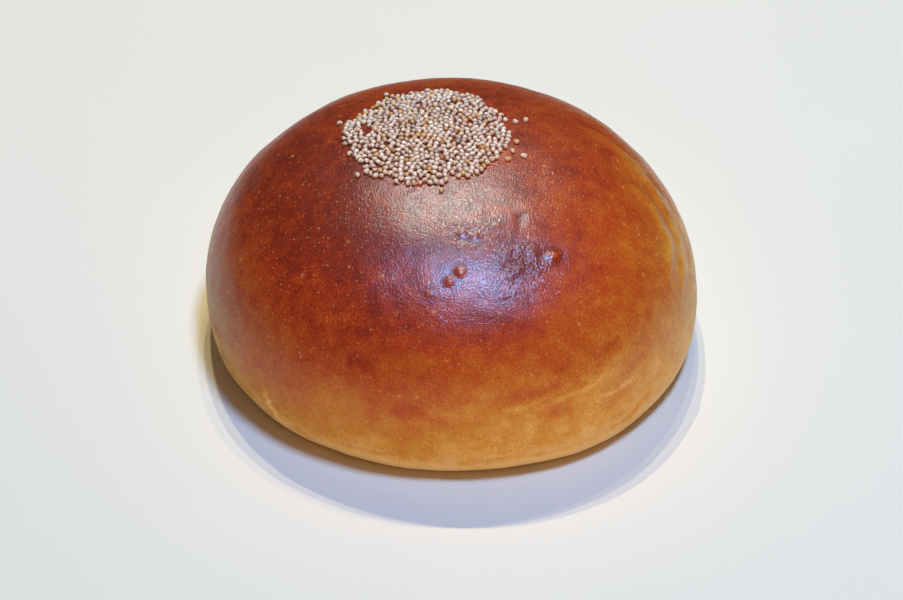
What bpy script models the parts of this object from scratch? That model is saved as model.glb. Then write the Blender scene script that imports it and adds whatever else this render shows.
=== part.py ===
"""Bean paste bun: a round baked bun with poppy seeds stuck to its crown.

Metres, +Z up. The bun stands on Z = 0 and the middle of its outline is over the origin.
+X is its longer way across. The seeds lie on the crown, a little left of its middle.
"""

import math

import bmesh
import bpy
from mathutils import Matrix, Vector, noise
from mathutils.bvhtree import BVHTree

MM = 0.001

# The bun
BUN_RADIUS = 47.5 * MM          # mean radius at the widest level
BUN_HEIGHT = 46.0 * MM
WIDEST_LEVEL = 8.0 * MM         # the widest level, above the base
UNDERSIDE_DROP = 26.2 * MM      # how far the lower curve would run if the base did not cut it
CROWN_POWER = 2.45              # 2 is an ellipse; more gives a flatter crown
SIDE_POWER = 2.3                # 2 is an ellipse; more gives a steeper side
OVAL = (0.029, -0.006)          # twice round: how much longer along X, and how far it is turned
LOPSIDED = (-0.005, -0.010)     # three times round: how far the outline is from an oval
CROWN_SHIFT = (-0.8 * MM, -2.9 * MM)   # the crown leans this way from the middle of the base
LUMP_SPACING = 24.0 * MM        # slow unevenness of the dough
LUMP_DEPTH = 0.25 * MM
BUN_DIVISIONS = 5               # halvings of the first 20-faced ball

# The seeds
PATCH_CENTRE = (-4.4 * MM, 1.9 * MM)
PATCH_RADIUS = 16.1 * MM
PATCH_LEFT_REACH = 0.5 * MM     # it spreads this much further on the left, and less on the right
PATCH_FRAY = 0.8 * MM           # how ragged its edge is
SEED_PITCH = 1.5 * MM           # distance between neighbouring seed tops in the patch
SEED_SIZE = (1.15 * MM, 1.0 * MM, 0.9 * MM)
SEED_GAP = 0.1 * MM             # clearance between the seeds and the crust
VALLEY_DEPTH = 0.5 * MM         # how far the patch sinks between its seed tops
STRAY_SEEDS = (                 # degrees from +X, and distance from the patch centre in mm
    (15.6, 19.3),
    (14.0, 17.1),
    (-9.6, 16.9),
    (-20.0, 16.8),
    (-21.0, 19.2),
    (-29.0, 17.0),
    (-81.5, 17.4),
    (-138.0, 17.6),
    (160.0, 18.2),
    (118.0, 17.8),
)


def clear_scene():
    """Start from nothing, whatever file is open."""
    for item in list(bpy.data.objects):
        bpy.data.objects.remove(item, do_unlink=True)


def make_material(name, colour, roughness):
    """A plain dielectric finish."""
    material = bpy.data.materials.new(name)
    material.use_nodes = True
    shader = material.node_tree.nodes["Principled BSDF"]
    shader.inputs["Base Color"].default_value = (*colour, 1.0)
    shader.inputs["Roughness"].default_value = roughness
    shader.inputs["Metallic"].default_value = 0.0
    return material


def add_object(name, shape, material):
    """Turn a finished bmesh into a named object of its own."""
    mesh = bpy.data.meshes.new(name)
    shape.to_mesh(mesh)
    shape.free()
    mesh.shade_smooth()
    mesh.set_sharp_from_angle(angle=math.radians(50.0))
    mesh.materials.append(material)
    item = bpy.data.objects.new(name, mesh)
    bpy.context.scene.collection.objects.link(item)
    return item


def outline_radius(angle):
    """Radius of the widest level, which is slightly oval and lopsided."""
    oval = OVAL[0] * math.cos(2.0 * angle) + OVAL[1] * math.sin(2.0 * angle)
    lopsided = LOPSIDED[0] * math.cos(3.0 * angle) + LOPSIDED[1] * math.sin(3.0 * angle)
    return BUN_RADIUS * (1.0 + oval + lopsided)


def bun_point(direction):
    """Where a point of the unit ball lies on the bun."""
    angle = math.atan2(direction.y, direction.x)
    across = math.hypot(direction.x, direction.y)
    rise = abs(direction.z)
    lean = 0.0
    if direction.z > 0.0:
        lean = rise ** (2.0 / SIDE_POWER)
        across = across ** (2.0 / CROWN_POWER)
        height = WIDEST_LEVEL + (BUN_HEIGHT - WIDEST_LEVEL) * lean
    else:
        height = WIDEST_LEVEL - UNDERSIDE_DROP * rise
    radius = outline_radius(angle) * across
    x = radius * math.cos(angle) + CROWN_SHIFT[0] * lean
    y = radius * math.sin(angle) + CROWN_SHIFT[1] * lean
    return Vector((x, y, height))


def centre_on_origin(shape):
    """Put the middle of the outline over the origin."""
    xs = [vertex.co.x for vertex in shape.verts]
    ys = [vertex.co.y for vertex in shape.verts]
    middle = Vector(((min(xs) + max(xs)) / 2.0, (min(ys) + max(ys)) / 2.0, 0.0))
    bmesh.ops.translate(shape, verts=shape.verts, vec=-middle)


def bun_shape():
    """The whole bun, baked in one piece, with the flat base that it was baked and stands on."""
    shape = bmesh.new()
    bmesh.ops.create_icosphere(shape, subdivisions=BUN_DIVISIONS, radius=1.0)
    for vertex in shape.verts:
        direction = vertex.co.normalized()
        place = bun_point(direction)
        lump = noise.noise(place / LUMP_SPACING)
        vertex.co = place + direction * lump * LUMP_DEPTH
    everything = shape.verts[:] + shape.edges[:] + shape.faces[:]
    bmesh.ops.bisect_plane(
        shape, geom=everything, plane_co=(0.0, 0.0, 0.0), plane_no=(0.0, 0.0, 1.0), clear_inner=True
    )
    rim = [edge for edge in shape.edges if edge.is_boundary]
    bmesh.ops.contextual_create(shape, geom=rim)
    bmesh.ops.recalc_face_normals(shape, faces=shape.faces)
    centre_on_origin(shape)
    return shape


def crust_under(crust, x, y):
    """The crust's point and normal straight below a place above the bun."""
    point, normal, _, _ = crust.ray_cast(Vector((x, y, 2.0 * BUN_HEIGHT)), Vector((0.0, 0.0, -1.0)))
    return point, normal


def in_patch(x, y):
    """Whether a place, measured from the patch centre, is inside its ragged edge."""
    fray = noise.noise(Vector((x, y, 0.0)) / (3.0 * SEED_PITCH)) * PATCH_FRAY
    distance = math.hypot(x, y)
    reach = PATCH_RADIUS + fray - PATCH_LEFT_REACH * x / max(distance, SEED_PITCH)
    return distance < reach


def seed_lattice(shape):
    """A sheet of triangles with a corner at each seed, inside the patch's edge."""
    row_step = SEED_PITCH * math.sqrt(3.0) / 2.0
    count = math.ceil(1.2 * PATCH_RADIUS / row_step)
    corners = {}
    for row in range(-count, count + 1):
        for column in range(-2 * count, 2 * count + 1):
            x = (column + row / 2.0) * SEED_PITCH
            y = row * row_step
            if in_patch(x, y):
                corners[row, column] = shape.verts.new((x, y, 0.0))
    for row, column in list(corners):
        right = corners.get((row, column + 1))
        above = corners.get((row + 1, column))
        below = corners.get((row - 1, column + 1))
        here = corners[row, column]
        if right and above:
            shape.faces.new((here, right, above))
        if right and below:
            shape.faces.new((here, below, right))


def loose_corners(shape):
    """Corners that no face uses, and corners where two runs of faces only touch."""
    return [
        vertex
        for vertex in shape.verts
        if not vertex.link_faces or sum(edge.is_boundary for edge in vertex.link_edges) > 2
    ]


def drop_loose_corners(shape):
    """Trim the sheet until one edge runs all round it, so that the patch becomes one solid."""
    while loose := loose_corners(shape):
        bmesh.ops.delete(shape, geom=loose, context="VERTS")


def patch_shape(crust):
    """The seeds of the patch, one layer deep and pressed together: a low crust-shaped solid
    whose top rises at each seed and sinks between them."""
    shape = bmesh.new()
    seed_lattice(shape)
    drop_loose_corners(shape)
    bottom = shape.faces[:]
    made = bmesh.ops.extrude_face_region(shape, geom=bottom, use_keep_orig=True)["geom"]
    top = [item for item in made if isinstance(item, bmesh.types.BMFace)]
    tops = {vertex for face in top for vertex in face.verts}
    valleys = set(bmesh.ops.poke(shape, faces=top)["verts"])
    for vertex in shape.verts:
        x = vertex.co.x + PATCH_CENTRE[0]
        y = vertex.co.y + PATCH_CENTRE[1]
        point, normal = crust_under(crust, x, y)
        rise = SEED_GAP
        if vertex in tops:
            rise = SEED_GAP + SEED_SIZE[2]
        if vertex in valleys:
            rise = SEED_GAP + SEED_SIZE[2] - VALLEY_DEPTH
        vertex.co = point + normal * rise
    bmesh.ops.recalc_face_normals(shape, faces=shape.faces)
    return shape


def stray_seed_shape(crust, angle, distance, turn):
    """One seed lying on its own beside the patch."""
    x = PATCH_CENTRE[0] + distance * math.cos(angle)
    y = PATCH_CENTRE[1] + distance * math.sin(angle)
    point, normal = crust_under(crust, x, y)
    centre = point + normal * (SEED_GAP + SEED_SIZE[2] / 2.0)
    upright = normal.to_track_quat("Z", "X").to_matrix().to_4x4()
    size = Matrix.Diagonal((SEED_SIZE[0] / 2.0, SEED_SIZE[1] / 2.0, SEED_SIZE[2] / 2.0, 1.0))
    shape = bmesh.new()
    place = Matrix.Translation(centre) @ upright @ Matrix.Rotation(turn, 4, "Z") @ size
    bmesh.ops.create_icosphere(shape, subdivisions=2, radius=1.0, matrix=place)
    return shape


def main():
    clear_scene()
    crust_finish = make_material("baked_crust", (0.36, 0.10, 0.025), 0.35)
    seed_finish = make_material("poppy_seed_hull", (0.80, 0.70, 0.56), 0.55)

    bun = bun_shape()
    crust = BVHTree.FromBMesh(bun)
    add_object("bun", bun, crust_finish)
    add_object("poppy_seed_topping", patch_shape(crust), seed_finish)
    for number, (degrees, distance) in enumerate(STRAY_SEEDS, start=1):
        turn = number * math.radians(137.5)
        seed = stray_seed_shape(crust, math.radians(degrees), distance * MM, turn)
        add_object(f"stray_seed_{number:02d}", seed, seed_finish)


main()
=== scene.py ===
"""Bean paste bun: the looks.

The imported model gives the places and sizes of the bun, the patch of seeds and each seed that lies
on its own. This script makes the crust and every poppy seed as fine pieces that stand for the plain
solids, and gives them an egg-washed crust and dry seed hulls. Metres, +Z up, the bun on Z = 0.
"""

import math
import random

import bpy
import numpy as np
from mathutils import Matrix, Vector, noise
from mathutils.bvhtree import BVHTree


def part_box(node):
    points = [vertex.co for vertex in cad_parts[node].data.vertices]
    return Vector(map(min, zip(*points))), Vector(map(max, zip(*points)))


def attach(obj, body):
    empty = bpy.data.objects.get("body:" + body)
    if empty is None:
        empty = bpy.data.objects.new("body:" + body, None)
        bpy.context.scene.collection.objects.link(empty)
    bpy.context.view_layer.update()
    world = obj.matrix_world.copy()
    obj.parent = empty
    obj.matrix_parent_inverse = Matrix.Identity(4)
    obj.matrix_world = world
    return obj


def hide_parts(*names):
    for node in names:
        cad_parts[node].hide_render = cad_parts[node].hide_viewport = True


MM = 0.001

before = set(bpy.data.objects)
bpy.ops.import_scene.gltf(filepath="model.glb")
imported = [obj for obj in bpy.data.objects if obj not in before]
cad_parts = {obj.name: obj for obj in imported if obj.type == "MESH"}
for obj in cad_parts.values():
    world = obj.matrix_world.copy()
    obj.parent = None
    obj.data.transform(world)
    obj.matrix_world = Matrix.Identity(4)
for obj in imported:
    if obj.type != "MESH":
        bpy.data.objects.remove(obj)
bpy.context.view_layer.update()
bun_low, bun_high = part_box("bun")
patch_low, patch_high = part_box("poppy_seed_topping")
stray_nodes = sorted(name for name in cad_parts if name.startswith("stray_seed_"))

# Camera, lights and table
CAMERA_LENS = 90.1                 # millimetres, for a film 36 mm wide
CAMERA_ELEVATION = 42.0            # degrees above the table
CAMERA_DISTANCE = 432.4 * MM
CAMERA_AIM_BEFORE = 17.2 * MM      # it looks at a place this far before the bun's middle
CAMERA_AIM_HEIGHT = 20.0 * MM
LIGHT_AIM_HEIGHT = 20.0 * MM
LIGHT_DISTANCE = 0.9
LAMPS = (                          # direction from the bun, width, watts, colour
    ((-0.10, 0.47, 1.0), 8.0 * MM, 2.36, "#FCE9B2"),
    ((0.0, 0.47, 1.0), 8.0 * MM, 1.95, "#FCE9B2"),
    ((0.09, 0.47, 1.0), 8.0 * MM, 0.85, "#FCE9B2"),
)
SOFTBOX = ((0.17, -0.09, 1.0), 130.0 * MM, 6.0, "#B2D4FF")
FILL = ((0.22, -0.94, 0.24), 500.0 * MM, 4.6, "#FFC98A")
LAMP_GLINT = ((0.01, 0.50, 1.0), 190.0 * MM, 6.9, "#EEFFFA")
SOFTBOX_GLINT = ((0.145, -0.38, 1.0), 260.0 * MM, 15.4, "#86C0FF")
BOUNCE = ((0.0, 0.0, 1.0), 100.0 * MM, 0.006, "#FFA238")
BOUNCE_DISTANCE = 10.0 * MM
BACKDROP = "#E6E5E2"
DIM_ROOM = "#333338"               # what the glaze mirrors of the room
SHADED_TABLE = "#30302E"           # painted reflection: the dark colour the table takes farther off, for glossy rays alone
TABLE_SHADES = (167.0 * MM, "#F0EEE9", "#F4F3EF")   # size of its slow unevenness, and two tones
TABLE_SHADING = (90.0 * MM, 140.0 * MM)    # how far off the mirrored table darkens
TABLE_SWEEP = (140.0 * MM, 480.0 * MM)     # how far off it turns into the backdrop

# The bun's crust
WIDEST_LEVEL = 8.0 * MM            # the bun's widest level, above the table
CUBE_CUTS = 31                     # the first cube's faces are cut into 32 by 32
SMOOTHING_ROUNDS = 14              # enough to melt the solid's flat faces into each other

LUMPS = (                          # size of the dough's unevenness, and its height
    (17.0 * MM, 0.30 * MM),
    (6.5 * MM, 0.11 * MM),
    (2.6 * MM, 0.034 * MM),
    (1.5 * MM, 0.024 * MM),
)

# Marks on the crust. Each lies at or along (azimuth, elevation) pairs in degrees, seen from the
# middle of the widest level. How much browner or paler a mark is counts in the same steps as
# BAKE_PALEST and BAKE_DARKEST below.
PLEATS = (                         # with width and depth in mm; a negative depth stands proud
    (((21.5, 52.5), (19.0, 47.0), (13.5, 43.5), (8.5, 40.0), (4.0, 37.0), (-1.0, 34.5)), 1.0, -0.22),
    (((24.0, 50.0), (20.0, 44.5), (15.0, 41.0), (10.0, 37.0)), 1.3, 0.26),
    (((14.0, 46.0), (6.0, 46.5), (-2.0, 46.0), (-10.5, 44.5)), 1.5, 0.22),
    (((-10.5, 44.5), (-7.5, 39.5), (-6.5, 36.0), (-9.0, 33.5), (-13.0, 31.0), (-15.5, 26.5),
      (-19.0, 25.5), (-27.5, 22.0)), 1.0, -0.36),
    (((-3.5, 42.0), (-2.5, 36.0), (-5.0, 32.0), (-8.5, 28.0), (-12.0, 22.5), (-20.0, 20.5)), 1.6, 0.36),
    (((2.5, 36.5), (1.5, 33.5), (-3.0, 31.0), (-2.0, 27.0)), 0.9, -0.30),
    (((6.0, 35.0), (4.0, 31.0), (2.5, 26.0), (0.0, 21.0)), 1.3, 0.30),
    (((-8.0, 23.0), (-13.5, 21.5), (-16.5, 19.0), (-22.0, 17.0)), 1.1, -0.34),
    (((-4.0, 20.0), (-12.0, 16.5), (-20.0, 13.5)), 1.5, 0.26),
    (((31.0, 50.5), (25.5, 45.0), (19.5, 41.0), (13.0, 38.0)), 0.7, -0.13),
    (((35.0, 46.0), (28.0, 41.0), (22.0, 37.5), (15.0, 34.5)), 0.7, -0.11),
    (((38.0, 50.0), (31.0, 44.5), (26.0, 40.0)), 0.7, -0.12),
    (((9.0, 43.0), (3.0, 40.0), (-3.0, 38.5)), 0.7, -0.12),
    (((6.0, 29.5), (1.0, 26.0), (-4.0, 21.5), (-8.0, 16.0)), 0.8, -0.16),
    (((-171.0, 33.0), (-174.0, 35.0), (-177.5, 38.5), (-180.0, 41.0)), 0.8, -0.12),
    (((-160.5, 5.5), (-160.0, 0.5)), 2.6, -0.35),
    (((-156.0, 6.0), (-156.5, -1.0)), 1.4, 0.30),
)
FOLD_PAINTED_SHADE = 0.9                 # painted shade in a fold: this much darker for each mm of depth
RIDGE_PALER = 1.2                  # for each mm of height
SLACK_FURROWS = (                  # soft shallow furrows where the side sagged as it cooled
    (((-47.0, 20.5), (-52.0, 19.5), (-56.0, 19.0)), 1.5, 0.16),
    (((-60.0, 21.5), (-63.5, 20.5), (-67.0, 20.0)), 1.6, 0.14),
    (((-41.0, 13.5), (-45.5, 12.5), (-50.0, 12.0)), 1.5, 0.15),
    (((-46.0, 7.5), (-49.0, 7.0), (-54.0, 4.0)), 1.5, 0.12),
    (((-62.0, 9.5), (-64.5, 9.0), (-69.0, 8.0)), 1.6, 0.12),
    (((-58.0, 15.5), (-68.0, 15.0), (-77.5, 15.0), (-86.0, 14.0)), 1.3, 0.10),
    (((-83.0, 8.5), (-89.0, 8.0), (-94.0, 8.0)), 1.6, 0.12),
    (((-96.0, 12.0), (-104.0, 13.0)), 1.7, 0.12),
    (((-108.5, 23.0), (-112.0, 22.0), (-116.0, 22.0)), 1.7, 0.10),
)
# painted shade: how much darker a furrow is
FURROW_PAINTED_SHADE = 0.55
PINCH_CRACK = (                    # where the dough was pinched shut, split a little in the oven
    (-138.5, 4.0), (-137.0, 2.5), (-138.0, 1.5), (-136.0, 0.5), (-137.0, -1.0), (-134.5, -2.5),
    (-135.0, -4.0), (-132.5, -5.5), (-131.0, -8.0),
)
CRACK_WIDTH = 0.50 * MM
CRACK_DEPTH = 0.55 * MM
CRACK_PALER = 1.6
LIP_WIDTH = 1.2 * MM               # the dough rises on both sides of the crack
LIP_HEIGHT = 0.30 * MM
RIM_CREASES = (                    # creases in the lower edge, where it rested on the tray
    ((-46.0, -3.5), (-43.0, -1.0), (-39.0, 1.0)),
    ((-48.0, -5.5), (-44.5, -3.0), (-41.0, -1.5)),
    ((-93.0, -1.0), (-92.5, -7.0)),
    ((-36.0, -0.5), (-50.0, -3.0), (-64.0, -4.0), (-78.0, -3.5), (-90.0, -4.5)),
    ((-96.0, -4.0), (-108.0, -3.5), (-120.0, -4.5)),
)
CREASE_WIDTH = 0.7 * MM
CREASE_DEPTH = 0.45 * MM
# painted shade: how much darker a crease is
CREASE_PAINTED_SHADE = 0.5
BLISTERS = (                       # azimuth, elevation, radius in mm, height in mm
    (-80.5, 53.5, 0.75, 0.34),
    (-85.5, 54.5, 0.75, 0.32),
    (-87.0, 45.0, 0.95, 0.34),
    (-90.5, 43.0, 0.85, 0.32),
    (-56.0, 44.0, 1.00, 0.34),
    (-54.5, 44.0, 0.65, 0.26),
    (-70.0, 55.5, 0.60, 0.18),
    (-96.5, 40.0, 0.55, 0.14),
    (-75.5, 38.5, 0.50, 0.12),
)
BLISTER_DOME = 2.0                 # the dome's share of the height, less the hollow round it
BLISTER_PALER = 2.1
MOAT_DEPTH = 0.7                   # the hollow's share of the height
MOAT_REACH = 1.8                   # times the blister's radius
# painted shade: how much darker the hollow round a blister is
MOAT_PAINTED_SHADE = 1.3
PITS = (                           # small popped bubbles, in the same way
    (-58.5, 55.5, 0.90, 0.30),
    (-61.0, 54.0, 0.60, 0.20),
    (-112.0, 63.0, 0.45, 0.22),
    (-78.5, 61.5, 0.45, 0.20),
    (-117.0, 66.5, 0.45, 0.20),
    (-104.0, 49.0, 0.40, 0.12),
    (-133.0, 48.0, 0.45, 0.12),
    (-101.5, 32.0, 0.45, 0.12),
)
# painted shade: how much darker a pit is
PIT_PAINTED_SHADE = 0.9
SHRIVELLED_SPOT = (-67.0, 44.5)    # where the skin puckered over a popped bubble
SHRIVELLED_REACH = 4.3 * MM
SHRIVELLED_BROWNER = 1.3
PUCKER_SIZE = 1.9 * MM
PUCKER_DEPTH = 0.19 * MM
HAIR_RIDGES = (                    # thin pale ridges where the skin stretched as it rose
    ((-51.0, 16.5), (-57.0, 13.0), (-64.0, 12.5), (-71.0, 11.0)),
    ((-60.0, 15.5), (-66.0, 14.5), (-73.0, 12.5), (-79.0, 12.0)),
    ((-44.0, 9.5), (-50.0, 8.5), (-56.0, 9.5)),
)
HAIR_WIDTH = 0.5 * MM
HAIR_HEIGHT = 0.08 * MM
HAIR_PALER = 0.9
PALE_RIMS = (                      # the lowest edge: up to what height, how much paler, how sharply
    (4.5 * MM, 1.1, 2),
    (1.3 * MM, 0.6, 4),
)
PALER_AND_DARKER_PATCHES = (                  # patches of the crust painted paler or darker: azimuth, elevation, reach in mm, how much paler; below 0, darker
    (7.0, 37.0, 4.5, 0.7),
    (-9.0, 26.0, 8.0, 0.6),
    (-35.0, 40.0, 17.0, 0.25),
    (-62.0, 13.0, 15.0, 0.20),
    (-78.0, 10.0, 11.0, 0.35),
    (-145.0, 6.0, 14.0, -0.30),
    (-172.0, 38.0, 17.0, -0.50),
    (-108.0, 23.0, 12.0, -0.25),
    (-75.0, 27.0, 9.0, -0.30),
)

# The seeds
PATCH_MIDDLE = Vector(((patch_low.x + patch_high.x) / 2.0, (patch_low.y + patch_high.y) / 2.0, 0.0))
PATCH_REACH = (patch_high.x - patch_low.x) / 2.0
SEED_LENGTH = 1.22 * MM
SEED_WIDTH = 1.08 * MM
SEED_THICKNESS = 0.90 * MM
SEED_BEND = 0.18                   # how far its ends turn up towards the scar's side
SCAR_DEPTH = 0.32
SCAR_LENGTH = 0.45                 # these three as shares of its half width or half length
SEED_COUNT = 590
SEED_SPACING = 0.88 * MM           # nearest that two seeds fall
SEED_REST_SPACING = 1.10 * MM      # how far apart they push each other
SEED_ROUNDS = 40
PILED_SEEDS = 26                   # seeds that lie on top of others
SEED_SINK = 0.08 * MM              # how far a seed is stuck into the egg wash
EDGE_FRAY = 2.2 * MM               # how ragged the patch's edge is
EDGE_SOFTNESS = 2.0 * MM           # the seeds thin out over this much of the edge
EDGE_LOBES = 3.1                   # how closely its lobes follow each other
BARE_SPOT = 2.6 * MM               # size of the bare spots between seeds
BARE_ABOVE = 0.42                  # how rare they are
BARE_LEFT = 0.15                   # and how much less rare towards the left and front
BARE_FRONT_TURN = 25.0             # how many degrees to the front of straight left that is
BARE_FROM = 0.45                   # none nearer the middle than this share of the patch
SEED_TILT = 0.35                   # how far seeds roll over, in radians
SEED_LIFT = 0.04 * MM              # how unevenly high they lie
SEED_SIZES = (0.90, 1.06)
PILE_LIFT = 1.25                   # how high a piled seed lies, in thicknesses of a seed

# Finishes
BAKE_BY_HEIGHT = 91.3              # how many steps browner per metre upwards
BAKE_BY_LEFT = 8.0                 # and per metre to the left
BAKE_BY_FRONT = 16.5               # and per metre from the middle to the front
BAKE_PALEST = 3.12                 # the step at which the crust has the first of its shades
BAKE_DARKEST = 7.42                # and the last
CLOUD_SIZE = 11.0 * MM
MOTTLE_SIZE = 2.6 * MM
GRAIN_SIZE = 0.4 * MM              # drawn coarser than the skin's real grain, so that it shows
BAKE_PATTERNS = (                  # size, detail, and over how many steps it varies
    (CLOUD_SIZE, 3.0, 1.7),
    (MOTTLE_SIZE, 4.0, 1.7),
    (GRAIN_SIZE, 2.0, 2.2),
)
FINE_SPECKS = (0.80 * MM, 0.34, 0.65)     # cell, largest radius as a share of it, how pale
COARSE_SPECKS = (3.0 * MM, 0.17, 0.75)
SPECK_JAGS = (0.4 * MM, 0.45 * MM)        # size of the jags in their edges, and how far they reach
SPECK_COLOUR = "#DFA668"
SPECK_HEIGHT = 0.08 * MM
WRINKLE_SIZE = 1.0 * MM            # of the dried egg wash
WRINKLE_DEPTH = 0.05 * MM
SHRIVEL_SIZE = 1.1 * MM            # of the puckered spot
SHRIVEL_DEPTH = 0.45 * MM
PORE_SIZE = 0.28 * MM              # drawn coarser than real pores, so that it shows
PORE_DEPTH = 0.08 * MM
GLAZE_EDGE = 8.0 * MM              # the egg wash thins out between these heights
GLAZE_FULL = 30.0 * MM
GLAZE_THIN = 0.12                  # how much of the crust it covers below, and above
GLAZE_THICK = 0.9
CRUST_ROUGHNESS = (0.42, 0.56)     # of its glossiest and its dullest mottles
CRUST_SHADES = (                   # from barely baked to darkest
    (0.00, "#E2C182"),
    (0.15, "#DAAA58"),
    (0.24, "#D09A43"),
    (0.35, "#C6872C"),
    (0.47, "#BF711F"),
    (0.58, "#B65D17"),
    (0.69, "#AE4A12"),
    (0.79, "#A23C11"),
    (0.88, "#8E2F0F"),
    (1.00, "#72230D"),
)
# painted shade in the dent at each seed's scar
SCAR_SHADE_COLOUR = "#A0713F"
HULL_PIT_SIZE = 0.28 * MM
HULL_PIT_DEPTH = 0.06 * MM
SEED_SHADES = (                    # each shade holds up to the next one's share of the seeds
    (0.00, "#F0DDCE"),
    (0.26, "#E6CFBE"),
    (0.50, "#DCC3B1"),
    (0.69, "#D2B3A2"),
    (0.82, "#D9B898"),
    (0.91, "#DBB07C"),
    (0.955, "#D09957"),
    (0.975, "#B57A45"),
    (0.990, "#A39DA0"),
)


# ---------------------------------------------------------------- small helpers


def linear(hex_colour):
    """An sRGB hex colour as the linear colour that a shader takes."""
    channels = [int(hex_colour[at:at + 2], 16) / 255.0 for at in (1, 3, 5)]
    return tuple(c / 12.92 if c <= 0.04045 else ((c + 0.055) / 1.055) ** 2.4 for c in channels) + (1.0,)


def deselect_all():
    """Let go of everything, so that the next operator acts on one piece."""
    if bpy.context.object and bpy.context.object.mode != "OBJECT":
        bpy.ops.object.mode_set(mode="OBJECT")
    bpy.ops.object.select_all(action="DESELECT")


def pick(piece):
    """Make one piece the only selected and active one."""
    deselect_all()
    piece.select_set(True)
    bpy.context.view_layer.objects.active = piece


def apply_modifier(piece, kind, **settings):
    """Add a modifier, set it and apply it."""
    pick(piece)
    modifier = piece.modifiers.new(kind.lower(), kind)
    for name, value in settings.items():
        setattr(modifier, name, value)
    bpy.ops.object.modifier_apply(modifier=modifier.name)


def add_node(tree, kind, links=(), **settings):
    """Add a shader node with its settings, and link its inputs from other nodes' outputs."""
    node = tree.nodes.new(kind)
    for name, value in settings.items():
        if name in node.inputs:
            node.inputs[name].default_value = value
        else:
            setattr(node, name, value)
    for name, output in dict(links).items():
        tree.links.new(output, node.inputs[name])
    return node


def points_of(piece):
    """A piece's vertex places as an array."""
    places = np.empty(len(piece.data.vertices) * 3)
    piece.data.vertices.foreach_get("co", places)
    return places.reshape(-1, 3)


def normals_of(piece):
    """A piece's vertex normals as an array."""
    normals = np.empty(len(piece.data.vertices) * 3)
    piece.data.vertices.foreach_get("normal", normals)
    return normals.reshape(-1, 3)


def move_points(piece, places):
    """Put a piece's vertices at new places."""
    piece.data.vertices.foreach_set("co", places.ravel())
    piece.data.update()


def note_on_points(piece, name, values):
    """Keep one number for each vertex, for a finish to read."""
    attribute = piece.data.attributes.new(name, "FLOAT", "POINT")
    attribute.data.foreach_set("value", values)


def surface_tree(piece):
    """A search tree of a piece's surface, for finding places on it."""
    return BVHTree.FromObject(piece, bpy.context.evaluated_depsgraph_get())


# ---------------------------------------------------------------- camera, lights and table


def add_camera():
    """A long lens looking down at the bun from the front."""
    data = bpy.data.cameras.new("camera")
    data.lens = CAMERA_LENS
    data.sensor_width = 36.0
    data.clip_start = 10.0 * MM
    camera = bpy.data.objects.new("camera", data)
    bpy.context.scene.collection.objects.link(camera)
    middle = (bun_low + bun_high) / 2.0
    target = Vector((middle.x, middle.y - CAMERA_AIM_BEFORE, CAMERA_AIM_HEIGHT))
    elevation = math.radians(CAMERA_ELEVATION)
    back = Vector((0.0, -math.cos(elevation), math.sin(elevation)))
    camera.location = target + back * CAMERA_DISTANCE
    camera.rotation_euler = back.to_track_quat("Z", "Y").to_euler()
    bpy.context.scene.camera = camera


def add_area_light(name, direction, width, watts, hex_colour, distance=LIGHT_DISTANCE):
    """A square soft light in some direction from the bun, facing it."""
    data = bpy.data.lights.new(name, "AREA")
    data.shape = "SQUARE"
    data.size = width
    data.energy = watts
    data.color = linear(hex_colour)[:3]
    light = bpy.data.objects.new(name, data)
    bpy.context.scene.collection.objects.link(light)
    towards = Vector(direction).normalized()
    light.location = towards * distance + Vector((0.0, 0.0, LIGHT_AIM_HEIGHT))
    light.rotation_euler = towards.to_track_quat("Z", "Y").to_euler()
    return light


def choose_lit(light, name, state):
    """Let a light reach only one piece, or everything but it."""
    group = bpy.data.collections.new("lit_by_" + light.name)
    group.objects.link(bpy.data.objects[name])
    light.light_linking.receiver_collection = group
    group.collection_objects[0].light_linking.link_state = state


def light_the_scene():
    """Small warm lamps high behind the bun, a cool softbox overhead, and a warm fill from the
    front. A faint orange light on the table alone is what the crust throws on it. The lamps' and
    the softbox's glints in the glaze are lights of their own, which light nothing else."""
    for number, lamp_values in enumerate(LAMPS):
        lamp = add_area_light(f"warm_lamp_{number}", *lamp_values)
        lamp.visible_glossy = False
    softbox = add_area_light("cool_softbox", *SOFTBOX)
    softbox.visible_glossy = False
    fill = add_area_light("warm_fill", *FILL)
    fill.visible_glossy = False
    choose_lit(fill, "table", "EXCLUDE")
    bounce = add_area_light("crust_bounce", *BOUNCE, BOUNCE_DISTANCE)
    bounce.visible_glossy = False
    choose_lit(bounce, "table", "INCLUDE")
    bounce.light_linking.blocker_collection = bounce.light_linking.receiver_collection
    for name, glint_values in (("lamp_glint", LAMP_GLINT), ("softbox_glint", SOFTBOX_GLINT)):
        glint = add_area_light(name, *glint_values)
        glint.visible_diffuse = False
        choose_lit(glint, "table", "EXCLUDE")
    bpy.context.scene.world = dim_room()
    bpy.context.scene.view_settings.view_transform = "Standard"


def dim_room():
    """A dim room for the crust to reflect, and a plain pale backdrop for the eye."""
    world = bpy.data.worlds.new("studio")
    world.use_nodes = True
    tree = world.node_tree
    background = tree.nodes["Background"]
    seen = add_node(tree, "ShaderNodeLightPath").outputs["Is Camera Ray"]
    tone = add_node(tree, "ShaderNodeMix", {"Factor": seen}, data_type="RGBA")
    tone.inputs["A"].default_value = linear(DIM_ROOM)
    tone.inputs["B"].default_value = linear(BACKDROP)
    tree.links.new(tone.outputs["Result"], background.inputs["Color"])
    return world


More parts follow.
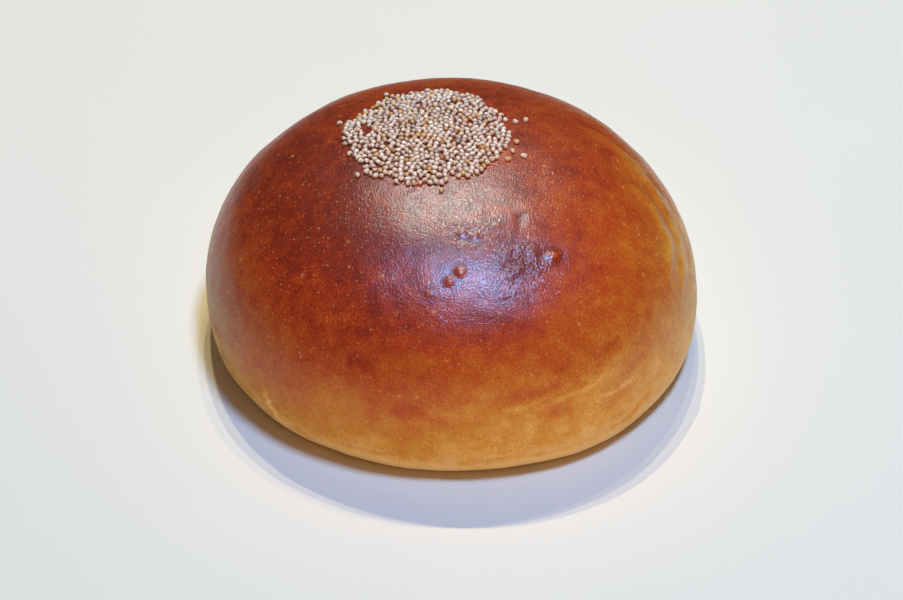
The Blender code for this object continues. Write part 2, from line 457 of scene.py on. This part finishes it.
def pale_table_finish():
    """Pale glazed stoneware: off-white, with a slow unevenness and a soft sheen. Farther off it is
    painted dark for glossy rays alone, a painted reflection, so the crust's glaze mirrors it only near the
    bun, as it would a plate."""
    material = bpy.data.materials.new("pale_glazed_stoneware")
    material.use_nodes = True
    tree = material.node_tree
    shader = tree.nodes["Principled BSDF"]
    place = add_node(tree, "ShaderNodeTexCoord").outputs["Object"]
    size, darker, paler = TABLE_SHADES
    cloud = add_node(tree, "ShaderNodeTexNoise", {"Vector": place}, Scale=1.0 / size, Detail=3.0)
    tint = add_node(tree, "ShaderNodeMix", {"Factor": cloud.outputs["Fac"]}, data_type="RGBA")
    tint.inputs["A"].default_value = linear(darker)
    tint.inputs["B"].default_value = linear(paler)
    # Painted reflection: farther off, glossy rays see the table dark.
    far = add_node(tree, "ShaderNodeVectorMath", {0: place}, operation="LENGTH")
    outside = add_node(tree, "ShaderNodeMapRange", {"Value": far.outputs["Value"]})
    outside.inputs["From Min"].default_value = TABLE_SHADING[0]
    outside.inputs["From Max"].default_value = TABLE_SHADING[1]
    mirrored = add_node(tree, "ShaderNodeLightPath").outputs["Is Glossy Ray"]
    both = {0: outside.outputs["Result"], 1: mirrored}
    dark = add_node(tree, "ShaderNodeMath", both, operation="MULTIPLY")
    tones = {"Factor": dark.outputs["Value"], "A": tint.outputs["Result"]}
    shown = add_node(tree, "ShaderNodeMix", tones, data_type="RGBA")
    shown.inputs["B"].default_value = linear(SHADED_TABLE)
    tree.links.new(shown.outputs["Result"], shader.inputs["Base Color"])
    shader.inputs["Roughness"].default_value = 0.35

    # Farther off the table sweeps up into the plain backdrop.
    seen = add_node(tree, "ShaderNodeLightPath").outputs["Is Camera Ray"]
    sweep = add_node(tree, "ShaderNodeMapRange", {"Value": far.outputs["Value"], "To Max": seen})
    sweep.inputs["From Min"].default_value = TABLE_SWEEP[0]
    sweep.inputs["From Max"].default_value = TABLE_SWEEP[1]
    backdrop = add_node(tree, "ShaderNodeEmission")
    backdrop.inputs["Color"].default_value = linear(BACKDROP)
    ends = {0: sweep.outputs["Result"], 1: shader.outputs["BSDF"], 2: backdrop.outputs["Emission"]}
    faded = add_node(tree, "ShaderNodeMixShader", ends)
    tree.links.new(faded.outputs["Shader"], tree.nodes["Material Output"].inputs["Surface"])
    return material


def add_table():
    """The pale surface that the bun stands on, which isn't part of the object."""
    deselect_all()
    bpy.ops.mesh.primitive_plane_add(size=6.0, location=(0.0, 0.0, 0.0))
    table = bpy.context.object
    table.name = "table"
    table.data.materials.append(pale_table_finish())


# ---------------------------------------------------------------- the crust's shape


def rough_bun():
    """A cube cut finely, blown up to a ball, and pressed flat below its widest level."""
    size = bun_high - bun_low
    deselect_all()
    bpy.ops.mesh.primitive_cube_add(size=2.0, location=(0.0, 0.0, 0.0))
    bun = bpy.context.object
    bun.name = "bun_crust"
    bpy.ops.object.mode_set(mode="EDIT")
    bpy.ops.mesh.select_all(action="SELECT")
    bpy.ops.mesh.subdivide(number_cuts=CUBE_CUTS)
    bpy.ops.object.mode_set(mode="OBJECT")
    apply_modifier(bun, "CAST", factor=1.0, radius=1.0, cast_type="SPHERE")
    places = points_of(bun)
    places /= np.linalg.norm(places, axis=1, keepdims=True)
    above = places[:, 2] > 0.0
    places[:, 0] *= size.x / 2.0
    places[:, 1] *= size.y / 2.0
    places[:, 2] *= np.where(above, bun_high.z - WIDEST_LEVEL, WIDEST_LEVEL)
    places[:, 2] += WIDEST_LEVEL
    move_points(bun, places)
    return bun


def fit_to_solid(bun):
    """Wrap the rough bun round the solid, melt the solid's flat faces, and make the mesh finer."""
    apply_modifier(
        bun,
        "SHRINKWRAP",
        target=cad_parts["bun"],
        wrap_method="PROJECT",
        use_negative_direction=True,
        use_positive_direction=True,
    )
    apply_modifier(bun, "SUBSURF", levels=1, render_levels=1)
    apply_modifier(bun, "SMOOTH", factor=0.5, iterations=SMOOTHING_ROUNDS)
    apply_modifier(bun, "SUBSURF", levels=1, render_levels=1)


def crust_place(crust, azimuth, elevation):
    """The place on the crust seen from the middle of the widest level, by two angles in degrees."""
    turn = math.radians(azimuth)
    lift = math.radians(elevation)
    way = Vector((math.cos(turn) * math.cos(lift), math.sin(turn) * math.cos(lift), math.sin(lift)))
    point, _, _, _ = crust.ray_cast(Vector((0.0, 0.0, WIDEST_LEVEL)) + way, -way)
    return point


def stroke_points(crust, angles):
    """Places about half a millimetre apart along a line of angle pairs on the crust."""
    marks = [crust_place(crust, *pair) for pair in angles]
    if len(marks) == 1:
        return np.array(marks), np.zeros(1)
    along = []
    for start, end in zip(marks, marks[1:]):
        steps = max(2, round((end - start).length / (0.5 * MM)))
        along += [start.lerp(end, step / steps) for step in range(steps)]
    along.append(marks[-1])
    return np.array(along), np.linspace(-1.0, 1.0, len(along))


def nearness(places, crust, angles, width):
    """How near each place is to a line or a spot, from 1 on it to 0 far from it. A line fades out
    towards its two ends."""
    path, run = stroke_points(crust, angles)
    near = np.full(len(places), np.inf)
    fade = np.zeros(len(places))
    for mark, part in zip(path, run):
        distance = np.linalg.norm(places - mark, axis=1)
        closer = distance < near
        near = np.where(closer, distance, near)
        fade = np.where(closer, 1.0 - part ** 4, fade)
    return np.exp(-((near / width) ** 2)) * fade


def unevenness(places, size, offset=0.0):
    """Smooth random heights between about -1 and 1, with lumps of that size."""
    shift = Vector((offset, 0.0, 0.0))
    return np.array([noise.noise(Vector(place) / size + shift) for place in places])


def sculpt_crust(bun):
    """Press every mark into the crust or raise it, and note where each leaves it darker or paler, its own
    browning together with the painted shade in its folds, furrows, creases, pits and hollows.
    """
    crust = surface_tree(bun)
    places = points_of(bun)
    normals = normals_of(bun)
    rise = np.zeros(len(places))
    browning = BAKE_BY_HEIGHT * places[:, 2] - BAKE_BY_LEFT * places[:, 0]
    browning -= BAKE_BY_FRONT * np.minimum(places[:, 1], 0.0)
    for number, (size, height) in enumerate(LUMPS):
        rise += unevenness(places, size, 7.0 * number) * height
    # A pleat's fold is painted darker as shade, by its depth; a pleat's ridge is paler.
    for angles, width, depth in PLEATS:
        mark = nearness(places, crust, angles, width * MM)
        rise -= mark * depth * MM
        browning += mark * depth * (RIDGE_PALER if depth < 0.0 else FOLD_PAINTED_SHADE)
    # Furrows are painted darker as shade.
    for angles, width, depth in SLACK_FURROWS:
        mark = nearness(places, crust, angles, width * MM)
        rise -= mark * depth * MM
        browning += mark * FURROW_PAINTED_SHADE
    crack = nearness(places, crust, PINCH_CRACK, CRACK_WIDTH)
    rise += nearness(places, crust, PINCH_CRACK, LIP_WIDTH) * LIP_HEIGHT - crack * CRACK_DEPTH
    browning -= crack * CRACK_PALER
    for angles in HAIR_RIDGES:
        mark = nearness(places, crust, angles, HAIR_WIDTH)
        rise += mark * HAIR_HEIGHT
        browning -= mark * HAIR_PALER
    # Creases in the lower edge are painted darker as shade.
    for angles in RIM_CREASES:
        mark = nearness(places, crust, angles, CREASE_WIDTH)
        rise -= mark * CREASE_DEPTH
        browning += mark * CREASE_PAINTED_SHADE
    # The hollow round each blister is painted darker as shade.
    for azimuth, elevation, radius, height in BLISTERS:
        mark = nearness(places, crust, [(azimuth, elevation)], radius * MM)
        moat = nearness(places, crust, [(azimuth, elevation)], MOAT_REACH * radius * MM)
        rise += (BLISTER_DOME * mark - MOAT_DEPTH * moat) * height * MM
        browning += moat * MOAT_PAINTED_SHADE - mark * BLISTER_PALER
    # Pits are painted darker as shade.
    for azimuth, elevation, radius, depth in PITS:
        mark = nearness(places, crust, [(azimuth, elevation)], radius * MM)
        rise -= mark * depth * MM
        browning += mark * PIT_PAINTED_SHADE
    for azimuth, elevation, reach, paler in PALER_AND_DARKER_PATCHES:
        browning -= nearness(places, crust, [(azimuth, elevation)], reach * MM) * paler
    pucker = nearness(places, crust, [SHRIVELLED_SPOT], SHRIVELLED_REACH)
    wrinkle = 1.0 - 4.0 * np.abs(unevenness(places, PUCKER_SIZE, 40.0))
    rise -= pucker * wrinkle * PUCKER_DEPTH
    browning += pucker * SHRIVELLED_BROWNER
    for height, paler, sharpness in PALE_RIMS:
        browning -= paler * np.exp(-((places[:, 2] / height) ** sharpness))
    places = places + normals * rise[:, None]
    move_points(bun, np.clip(places, np.array(bun_low), np.array(bun_high)))
    note_on_points(bun, "browning", browning)
    note_on_points(bun, "puckering", pucker)


# ---------------------------------------------------------------- the crust's finish


def crust_finish():
    """Egg-washed wheat dough baked in a hot oven: mahogany on the crown and golden low on the
    sides, mottled, with tiny pale specks where bubbles reached the skin. The dried egg wash is a
    thin clear glaze, wrinkled very finely, so highlights are broad and grainy."""
    material = bpy.data.materials.new("egg_washed_baked_dough")
    material.use_nodes = True
    tree = material.node_tree
    shader = tree.nodes["Principled BSDF"]
    place = add_node(tree, "ShaderNodeTexCoord").outputs["Object"]

    # How far each place was baked, with the painted shade of folds, furrows, creases, pits and hollows
    # added, made uneven by clouds, mottles and grain.
    baked = add_node(tree, "ShaderNodeAttribute", attribute_name="browning").outputs["Fac"]
    for size, detail, span in BAKE_PATTERNS:
        uneven = add_node(tree, "ShaderNodeTexNoise", {"Vector": place}, Scale=1.0 / size, Detail=detail)
        terms = {0: uneven.outputs["Fac"], 2: baked}
        added = add_node(tree, "ShaderNodeMath", terms, operation="MULTIPLY_ADD")
        added.inputs[1].default_value = span
        baked = added.outputs["Value"]
    level = add_node(tree, "ShaderNodeMapRange", {"Value": baked})
    level.inputs["From Min"].default_value = BAKE_PALEST
    level.inputs["From Max"].default_value = BAKE_DARKEST
    ramp = add_node(tree, "ShaderNodeValToRGB", {"Fac": level.outputs["Result"]})
    paint_ramp(ramp, CRUST_SHADES)

    # Tiny pale specks, each in its own cell.
    fine = pale_specks(tree, place, *FINE_SPECKS)
    coarse = pale_specks(tree, place, *COARSE_SPECKS)
    specks = add_node(tree, "ShaderNodeMath", {0: fine, 1: coarse}, operation="MAXIMUM")
    shades = {"Factor": specks.outputs["Value"], "A": ramp.outputs["Color"]}
    tint = add_node(tree, "ShaderNodeMix", shades, data_type="RGBA")
    tint.inputs["B"].default_value = linear(SPECK_COLOUR)
    tree.links.new(tint.outputs["Result"], shader.inputs["Base Color"])

    # The egg wash's fine wrinkles, the puckered spot, the skin's pores, and a small bump at each
    # speck. The glaze lies over the specks' bumps and levels them.
    wrinkles = add_node(
        tree, "ShaderNodeTexNoise", {"Vector": place}, Scale=1.0 / WRINKLE_SIZE, Detail=2.0, Distortion=0.8
    )
    height = {"Height": wrinkles.outputs["Fac"]}
    folds = add_node(tree, "ShaderNodeBump", height, Strength=1.0, Distance=WRINKLE_DEPTH)
    puckering = add_node(tree, "ShaderNodeAttribute", attribute_name="puckering")
    shrivels = add_node(
        tree, "ShaderNodeTexNoise", {"Vector": place}, Scale=1.0 / SHRIVEL_SIZE, Detail=2.0, Distortion=1.2
    )
    height = {
        "Height": shrivels.outputs["Fac"],
        "Strength": puckering.outputs["Fac"],
        "Normal": folds.outputs["Normal"],
    }
    puckers = add_node(tree, "ShaderNodeBump", height, Distance=SHRIVEL_DEPTH)
    pores = add_node(tree, "ShaderNodeTexNoise", {"Vector": place}, Scale=1.0 / PORE_SIZE, Detail=1.0)
    height = {"Height": pores.outputs["Fac"], "Normal": puckers.outputs["Normal"]}
    skin = add_node(tree, "ShaderNodeBump", height, Strength=1.0, Distance=PORE_DEPTH)
    height = {"Height": specks.outputs["Value"], "Normal": skin.outputs["Normal"]}
    bubbles = add_node(tree, "ShaderNodeBump", height, Strength=0.6, Distance=SPECK_HEIGHT)
    tree.links.new(bubbles.outputs["Normal"], shader.inputs["Normal"])
    tree.links.new(skin.outputs["Normal"], shader.inputs["Coat Normal"])

    # Some mottles are duller than others, and the egg wash was brushed on from above.
    mottle = add_node(tree, "ShaderNodeTexNoise", {"Vector": place}, Scale=1.0 / MOTTLE_SIZE, Detail=4.0)
    dullness = add_node(tree, "ShaderNodeMapRange", {"Value": mottle.outputs["Fac"]})
    dullness.inputs["To Min"].default_value = CRUST_ROUGHNESS[0]
    dullness.inputs["To Max"].default_value = CRUST_ROUGHNESS[1]
    tree.links.new(dullness.outputs["Result"], shader.inputs["Roughness"])
    upright = add_node(tree, "ShaderNodeSeparateXYZ", {"Vector": place})
    glaze = add_node(tree, "ShaderNodeMapRange", {"Value": upright.outputs["Z"]})
    glaze.inputs["From Min"].default_value = GLAZE_EDGE
    glaze.inputs["From Max"].default_value = GLAZE_FULL
    glaze.inputs["To Min"].default_value = GLAZE_THIN
    glaze.inputs["To Max"].default_value = GLAZE_THICK
    tree.links.new(glaze.outputs["Result"], shader.inputs["Coat Weight"])
    shader.inputs["IOR"].default_value = 1.35
    shader.inputs["Specular IOR Level"].default_value = 0.15
    shader.inputs["Coat Roughness"].default_value = 0.26
    shader.inputs["Coat IOR"].default_value = 1.5
    return material


def pale_specks(tree, place, cell, radius, strongest):
    """How much each place belongs to a speck: cells of that size hold one speck each, of up to a
    radius given as a share of the cell, and a larger speck is paler."""
    jag, reach = SPECK_JAGS
    jagged = add_node(tree, "ShaderNodeTexNoise", {"Vector": place}, Scale=1.0 / jag, Detail=1.0)
    spread = {0: jagged.outputs["Color"], 2: place}
    uneven = add_node(tree, "ShaderNodeVectorMath", spread, operation="MULTIPLY_ADD")
    uneven.inputs[1].default_value = (reach, reach, reach)
    cells = add_node(tree, "ShaderNodeTexVoronoi", {"Vector": uneven.outputs["Vector"]}, Scale=1.0 / cell)
    lot = add_node(tree, "ShaderNodeSeparateColor", {"Color": cells.outputs["Color"]})
    edge = add_node(tree, "ShaderNodeMath", {0: lot.outputs["Red"]}, operation="MULTIPLY")
    edge.inputs[1].default_value = radius
    ends = {"Value": cells.outputs["Distance"], "From Min": edge.outputs["Value"]}
    speck = add_node(tree, "ShaderNodeMapRange", ends)
    speck.inputs["From Max"].default_value = 0.0
    speck.inputs["To Max"].default_value = strongest
    return speck.outputs["Result"]


def paint_ramp(ramp, shades):
    """Give a colour ramp its stops, as places and hex colours."""
    stops = ramp.color_ramp.elements
    while len(stops) < len(shades):
        stops.new(0.5)
    for stop, (at, hex_colour) in zip(stops, shades):
        stop.position = at
        stop.color = linear(hex_colour)


def make_crust(finish):
    """The whole bun in one piece."""
    bun = rough_bun()
    fit_to_solid(bun)
    sculpt_crust(bun)
    bun.data.shade_smooth()
    bun.data.materials.append(finish)
    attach(bun, "root")
    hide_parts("bun")
    return bun


# ---------------------------------------------------------------- the seeds


def seed_form():
    """One poppy seed: a small ball, flattened, bent like a kidney and dented at its scar."""
    deselect_all()
    bpy.ops.mesh.primitive_uv_sphere_add(segments=8, ring_count=6, radius=1.0, location=(0.0, 0.0, 0.0))
    seed = bpy.context.object
    places = points_of(seed)
    along = places[:, 0].copy()
    scar = np.exp(-((along / SCAR_LENGTH) ** 2)) * np.clip(places[:, 1], 0.0, 1.0)
    places[:, 1] += SEED_BEND * along ** 2 - SCAR_DEPTH * scar
    places *= np.array((SEED_LENGTH, SEED_WIDTH, SEED_THICKNESS)) / 2.0
    move_points(seed, places)
    seed.data.shade_smooth()
    note_on_points(seed, "scar", scar)
    return seed


def lay_seed(pattern, name, place, normal, draw):
    """Copy the seed to a place on the crust, lying nearly flat and turned any way."""
    seed = bpy.data.objects.new(name, pattern.data.copy())
    bpy.context.scene.collection.objects.link(seed)
    upright = normal.to_track_quat("Z", "X").to_matrix().to_4x4()
    turn = Matrix.Rotation(draw.uniform(0.0, math.tau), 4, "Z")
    tip = Matrix.Rotation(draw.gauss(0.0, SEED_TILT), 4, "X")
    size = Matrix.Scale(draw.uniform(*SEED_SIZES), 4)
    seed.data.transform(Matrix.Translation(place) @ upright @ turn @ tip @ size)
    note_on_points(seed, "seed_tint", [draw.random()] * len(seed.data.vertices))
    return seed


def in_patch(x, y, draw):
    """Whether a seed stuck here: surely in the middle, less surely near the ragged edge."""
    distance = math.hypot(x, y)
    turn = math.atan2(y, x)
    ragged = noise.noise(Vector((math.cos(turn), math.sin(turn), 0.0)) * EDGE_LOBES) * EDGE_FRAY
    left = max(0.0, -math.cos(turn - math.radians(BARE_FRONT_TURN)))
    bare = noise.noise(Vector((x, y, 5.0 * MM)) / BARE_SPOT) > BARE_ABOVE - BARE_LEFT * left
    if bare and distance > BARE_FROM * PATCH_REACH:
        return False
    inside = (PATCH_REACH - SEED_WIDTH / 2.0 + ragged - distance) / EDGE_SOFTNESS
    return draw.random() < inside


def sprinkle(draw):
    """Places where the seeds of the patch fell, measured from its middle."""
    fallen = []
    while len(fallen) < SEED_COUNT:
        x = draw.uniform(-PATCH_REACH, PATCH_REACH)
        y = draw.uniform(-PATCH_REACH, PATCH_REACH)
        if not in_patch(x, y, draw):
            continue
        if all(math.hypot(x - u, y - v) > SEED_SPACING for u, v in fallen):
            fallen.append((x, y))
    return np.array(fallen)


def settle(fallen):
    """Let seeds that lie too near each other push each other apart."""
    for _ in range(SEED_ROUNDS):
        gap = fallen[:, None] - fallen[None]
        distance = np.linalg.norm(gap, axis=2)
        np.fill_diagonal(distance, np.inf)
        overlap = np.clip(SEED_REST_SPACING - distance, 0.0, None)
        fallen = fallen + 0.4 * (gap * (overlap / distance)[:, :, None]).sum(axis=1)
        reach = np.linalg.norm(fallen, axis=1, keepdims=True)
        fallen *= np.minimum(1.0, (PATCH_REACH - SEED_LENGTH / 2.0) / reach)
    return fallen


def on_crust(crust, x, y):
    """The crust's place and normal under a place measured from the patch's middle."""
    above = PATCH_MIDDLE + Vector((x, y, 2.0 * bun_high.z))
    place, normal, _, _ = crust.ray_cast(above, Vector((0.0, 0.0, -1.0)))
    return place, normal


def seed_finish():
    """Dry poppy seed hulls, most cream, some tan or amber and a few blue-grey: matt, with painted shade
    darkening the dent at each scar, and a fine pitted net over all."""
    material = bpy.data.materials.new("dry_poppy_seed_hull")
    material.use_nodes = True
    tree = material.node_tree
    shader = tree.nodes["Principled BSDF"]
    place = add_node(tree, "ShaderNodeTexCoord").outputs["Object"]
    kind = add_node(tree, "ShaderNodeAttribute", attribute_name="seed_tint")
    scar = add_node(tree, "ShaderNodeAttribute", attribute_name="scar")
    ramp = add_node(tree, "ShaderNodeValToRGB", {"Fac": kind.outputs["Fac"]})
    ramp.color_ramp.interpolation = "CONSTANT"
    paint_ramp(ramp, SEED_SHADES)
    pits = add_node(tree, "ShaderNodeTexVoronoi", {"Vector": place}, Scale=1.0 / HULL_PIT_SIZE)
    # The dent at the scar is painted darker as shade.
    both = {0: scar.outputs["Fac"], 1: pits.outputs["Distance"]}
    scar_shade = add_node(tree, "ShaderNodeMath", both, operation="MULTIPLY")
    shades = {"Factor": scar_shade.outputs["Value"], "A": ramp.outputs["Color"]}
    tint = add_node(tree, "ShaderNodeMix", shades, data_type="RGBA")
    tint.inputs["B"].default_value = linear(SCAR_SHADE_COLOUR)
    tree.links.new(tint.outputs["Result"], shader.inputs["Base Color"])
    height = {"Height": pits.outputs["Distance"]}
    net = add_node(tree, "ShaderNodeBump", height, Strength=0.5, Distance=HULL_PIT_DEPTH)
    tree.links.new(net.outputs["Normal"], shader.inputs["Normal"])
    shader.inputs["Roughness"].default_value = 0.55
    shader.inputs["IOR"].default_value = 1.45
    return material


def make_seeds(bun, finish):
    """The patch of seeds as one piece, and the ten seeds that lie on their own."""
    draw = random.Random(7)
    crust = surface_tree(bun)
    pattern = seed_form()
    patch = []
    settled = settle(sprinkle(draw))
    for x, y in settled:
        place, normal = on_crust(crust, x, y)
        lift = SEED_THICKNESS / 2.0 - SEED_SINK + abs(draw.gauss(0.0, SEED_LIFT))
        patch.append(lay_seed(pattern, "seed", place + normal * lift, normal, draw))
    for x, y in draw.sample(list(settled), PILED_SEEDS):
        place, normal = on_crust(crust, x + SEED_WIDTH / 2.0, y + SEED_WIDTH / 3.0)
        place += normal * PILE_LIFT * SEED_THICKNESS
        if place.z + SEED_THICKNESS / 2.0 < patch_high.z:
            patch.append(lay_seed(pattern, "seed", place, normal, draw))
    deselect_all()
    for seed in patch:
        seed.select_set(True)
    bpy.context.view_layer.objects.active = patch[0]
    bpy.ops.object.join()
    topping = patch[0]
    topping.name = "poppy_seeds_on_crown"
    finish_seeds(topping, finish, "poppy_seed_topping")
    for number, node in enumerate(stray_nodes, start=1):
        low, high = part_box(node)
        middle = (low + high) / 2.0
        place, normal, _, _ = crust.find_nearest(middle)
        lift = SEED_THICKNESS / 2.0 - SEED_SINK
        seed = lay_seed(pattern, f"loose_seed_{number:02d}", place + normal * lift, normal, draw)
        finish_seeds(seed, finish, node)
    bpy.data.objects.remove(pattern, do_unlink=True)


def finish_seeds(piece, finish, node):
    """Give seeds their finish and let them stand for their solid."""
    piece.data.materials.append(finish)
    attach(piece, "root")
    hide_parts(node)


def main():
    """Set up the studio, then the crust, then the seeds on it."""
    add_camera()
    add_table()
    light_the_scene()
    bun = make_crust(crust_finish())
    make_seeds(bun, seed_finish())


main()
